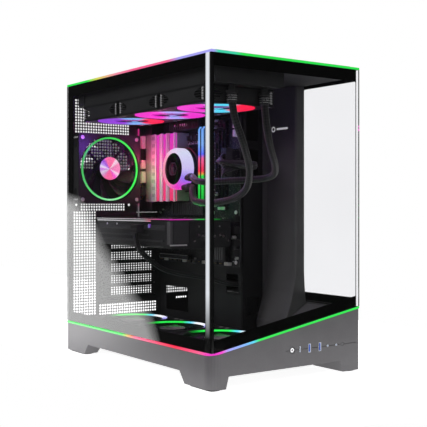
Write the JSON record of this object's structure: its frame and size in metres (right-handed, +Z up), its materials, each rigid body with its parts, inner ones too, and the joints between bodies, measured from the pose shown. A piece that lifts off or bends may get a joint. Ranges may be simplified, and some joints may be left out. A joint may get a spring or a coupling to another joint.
{
  "type": "desktop computer tower",
  "caption": "Desktop computer tower with glass front and sides on a footed base, lit edge strips, case fans, liquid cooler, graphics card and removable panels.",
  "frame": {"origin": "centre of the footprint, on the surface that the rubber feet stand on", "axes": "+Z up; the front with its connectors faces -Y, the large glass pane faces -X and the rear connectors face +Y"},
  "size_m": [0.272, 0.425, 0.455],
  "materials": {
    "base_grey": "satin graphite paint with a fine metallic fleck",
    "black_steel": "fine-textured black powder coat on folded steel",
    "column_grey": "satin dark grey paint",
    "black_plastic": "moulded black plastic",
    "rubber": "soft black rubber",
    "filter_mesh": "fine nylon mesh in a plastic frame",
    "light_strip": "milky light guide, lit in changing colours",
    "clear_edge": "ground and polished glass edge",
    "pane_glass": "tempered glass with a black printed border",
    "rotor_smoke": "smoky translucent plastic, lit from the hub",
    "board_black": "black solder mask with fine tracks",
    "silver": "brushed and anodised aluminium",
    "braid": "black woven sleeving"
  },
  "bodies": {
    "chassis": {"base_plinth": "base_grey", "foot_pad_front_left": "rubber", "foot_pad_front_right": "rubber", "foot_pad_rear_left": "rubber", "foot_pad_rear_right": "rubber", "floor_plate": "black_steel", "bottom_light_strip": "light_strip", "top_light_strip": "light_strip", "top_frame": "black_steel", "corner_glass_strip": "clear_edge", "right_front_glass": "pane_glass", "chamber_front_wall": "black_steel", "floor_side_trim": "column_grey", "cable_cover_column": "column_grey", "motherboard_tray": "black_steel", "rear_panel": "black_steel", "slot_cover_set": "black_steel", "bottom_fan_1_frame": "black_plastic", "bottom_fan_2_frame": "black_plastic", "bottom_fan_3_frame": "black_plastic", "top_fan_1_frame": "black_plastic", "top_fan_2_frame": "black_plastic", "top_fan_3_frame": "black_plastic", "rear_fan_frame": "black_plastic", "radiator": "black_steel", "cpu_pump_block": "black_plastic", "cpu_pump_cap": "black_plastic", "coolant_hose_1": "braid", "coolant_hose_2": "braid", "motherboard": "board_black", "memory_module_1": "black_plastic", "memory_module_2": "black_plastic", "io_heatsink_cover": "silver", "io_port_block": "silver", "gpu_shroud": "black_plastic", "gpu_backplate": "black_steel", "gpu_bracket": "silver", "power_supply": "black_steel", "ssd_drive": "silver", "gpu_power_cable": "braid", "board_power_cable": "braid", "front_port_board": "black_plastic"},
    "left_panel": {"left_glass_panel": "pane_glass"},
    "front_panel": {"front_glass": "pane_glass"},
    "side_panel": {"right_side_panel": "black_steel"},
    "top_cover": {"top_vent_cover": "black_steel"},
    "dust_filter": {"bottom_dust_filter": "filter_mesh"},
    "bottom_rotor_1": {"bottom_fan_1_rotor": "rotor_smoke"},
    "bottom_rotor_2": {"bottom_fan_2_rotor": "rotor_smoke"},
    "bottom_rotor_3": {"bottom_fan_3_rotor": "rotor_smoke"},
    "top_rotor_1": {"top_fan_1_rotor": "rotor_smoke"},
    "top_rotor_2": {"top_fan_2_rotor": "rotor_smoke"},
    "top_rotor_3": {"top_fan_3_rotor": "rotor_smoke"},
    "rear_rotor": {"rear_fan_rotor": "rotor_smoke"},
    "card_rotor_1": {"gpu_fan_1": "black_plastic"},
    "card_rotor_2": {"gpu_fan_2": "black_plastic"},
    "supply_rotor": {"power_supply_fan": "black_plastic"},
    "supply_switch": {"power_supply_switch": "black_plastic"},
    "start_button": {"power_button": "silver"},
    "lighting_button": {"light_button": "black_plastic"}
  },
  "joints": [
    {"name": "left_panel_pull", "type": "slide", "parent": "chassis", "child": "left_panel", "axis": [-1, 0, 0], "range_m": [0, 0.15]},
    {"name": "front_panel_pull", "type": "slide", "parent": "chassis", "child": "front_panel", "axis": [0, -1, 0], "range_m": [0, 0.15]},
    {"name": "side_panel_pull", "type": "slide", "parent": "chassis", "child": "side_panel", "axis": [1, 0, 0], "range_m": [0, 0.12]},
    {"name": "top_cover_lift", "type": "slide", "parent": "chassis", "child": "top_cover", "axis": [0, 0, 1], "range_m": [0, 0.08]},
    {"name": "dust_filter_pull", "type": "slide", "parent": "chassis", "child": "dust_filter", "axis": [0, 1, 0], "range_m": [0, 0.42]},
    {"name": "bottom_rotor_1_spin", "type": "hinge", "parent": "chassis", "child": "bottom_rotor_1", "pos_m": [-0.066, -0.1325, 0.0483], "axis": [0, 0, 1], "continuous": true},
    {"name": "bottom_rotor_2_spin", "type": "hinge", "parent": "chassis", "child": "bottom_rotor_2", "pos_m": [-0.066, -0.0125, 0.0483], "axis": [0, 0, 1], "continuous": true},
    {"name": "bottom_rotor_3_spin", "type": "hinge", "parent": "chassis", "child": "bottom_rotor_3", "pos_m": [-0.066, 0.1075, 0.0483], "axis": [0, 0, 1], "continuous": true},
    {"name": "top_rotor_1_spin", "type": "hinge", "parent": "chassis", "child": "top_rotor_1", "pos_m": [-0.061, -0.1195, 0.4002], "axis": [0, 0, 1], "continuous": true},
    {"name": "top_rotor_2_spin", "type": "hinge", "parent": "chassis", "child": "top_rotor_2", "pos_m": [-0.061, 0.0005, 0.4002], "axis": [0, 0, 1], "continuous": true},
    {"name": "top_rotor_3_spin", "type": "hinge", "parent": "chassis", "child": "top_rotor_3", "pos_m": [-0.061, 0.1205, 0.4002], "axis": [0, 0, 1], "continuous": true},
    {"name": "rear_rotor_spin", "type": "hinge", "parent": "chassis", "child": "rear_rotor", "pos_m": [-0.071, 0.1867, 0.31], "axis": [0, 1, 0], "continuous": true},
    {"name": "card_rotor_1_spin", "type": "hinge", "parent": "chassis", "child": "card_rotor_1", "pos_m": [-0.0285, 0.0205, 0.188], "axis": [0, 0, 1], "continuous": true},
    {"name": "card_rotor_2_spin", "type": "hinge", "parent": "chassis", "child": "card_rotor_2", "pos_m": [-0.0285, 0.1245, 0.188], "axis": [0, 0, 1], "continuous": true},
    {"name": "supply_rotor_spin", "type": "hinge", "parent": "chassis", "child": "supply_rotor", "pos_m": [0.121, 0.1275, 0.179], "axis": [1, 0, 0], "continuous": true},
    {"name": "supply_switch_rock", "type": "hinge", "parent": "chassis", "child": "supply_switch", "pos_m": [0.076, 0.1947, 0.122], "axis": [1, 0, 0], "range_deg": [-16, 0]},
    {"name": "start_button_press", "type": "slide", "parent": "chassis", "child": "start_button", "axis": [0, 1, 0], "range_m": [0, 0.0015], "stiffness_N_per_m": 600},
    {"name": "lighting_button_press", "type": "slide", "parent": "chassis", "child": "lighting_button", "axis": [0, 1, 0], "range_m": [0, 0.0015], "stiffness_N_per_m": 400}
  ]
}
